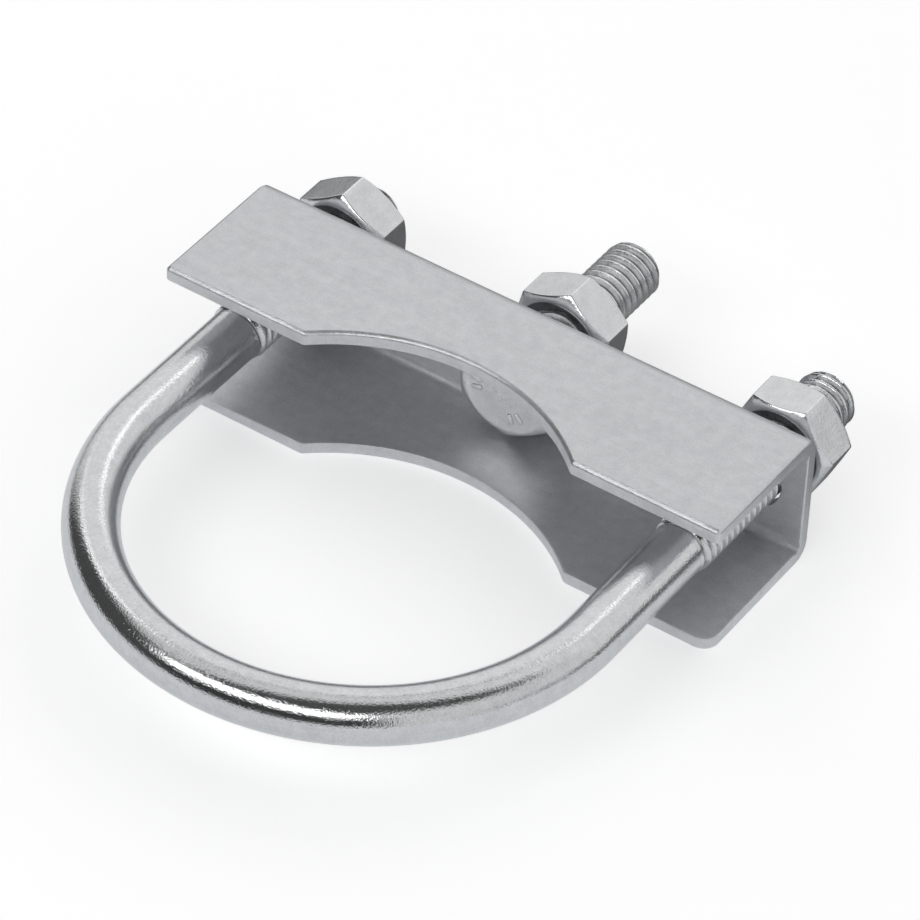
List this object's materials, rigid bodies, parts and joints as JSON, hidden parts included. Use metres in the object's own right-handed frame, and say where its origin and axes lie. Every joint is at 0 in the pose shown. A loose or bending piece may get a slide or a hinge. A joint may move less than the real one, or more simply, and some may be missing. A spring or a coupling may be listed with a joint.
{
  "type": "u-bolt pipe clamp",
  "caption": "Zinc-plated round-rod U-bolt with a notched channel saddle, hex nuts and a centre bolt, clamps a pipe or mast to a bracket.",
  "frame": {"origin": "centre of the U-bolt's bow, in the plane of the rod, on the axis of a full-size pipe", "axes": "+X from the left leg to the right leg, +Y from the bow towards the nuts along the legs, +Z along the pipe, up as the clamp lies on its lower flange"},
  "size_m": [0.0804, 0.0957, 0.02],
  "materials": {
    "bright_zinc": "bright zinc plating, glossy",
    "satin_zinc": "zinc-plated pressed sheet, satin"
  },
  "bodies": {
    "u_bolt": {"u_bolt": "bright_zinc"},
    "saddle": {"saddle": "satin_zinc"},
    "centre_bolt": {"centre_bolt": "bright_zinc"},
    "centre_nut": {"centre_nut": "bright_zinc"},
    "left_leg_nut": {"left_leg_nut": "bright_zinc"},
    "right_leg_nut": {"right_leg_nut": "bright_zinc"}
  },
  "joints": [
    {"name": "saddle_slide", "type": "slide", "parent": "u_bolt", "child": "saddle", "axis": [0, 1, 0], "range_m": [-0.04, 0]},
    {"name": "left_nut_travel", "type": "slide", "parent": "u_bolt", "child": "left_leg_nut", "axis": [0, 1, 0], "range_m": [-0.00365, 0.0047]},
    {"name": "right_nut_travel", "type": "slide", "parent": "u_bolt", "child": "right_leg_nut", "axis": [0, 1, 0], "range_m": [-0.00385, 0.0084]},
    {"name": "centre_bolt_turn", "type": "hinge", "parent": "saddle", "child": "centre_bolt", "pos_m": [0, 0.029, 0], "axis": [0, 1, 0], "range_deg": [-3960, 1260]},
    {"name": "centre_nut_travel", "type": "slide", "parent": "saddle", "child": "centre_nut", "axis": [0, 1, 0], "range_m": [-0.0044, 0.0138]}
  ],
  "couplings": [
    {"joint": "centre_nut_travel", "follows": "centre_bolt_turn", "m_per_rad": -0.00019894}
  ]
}
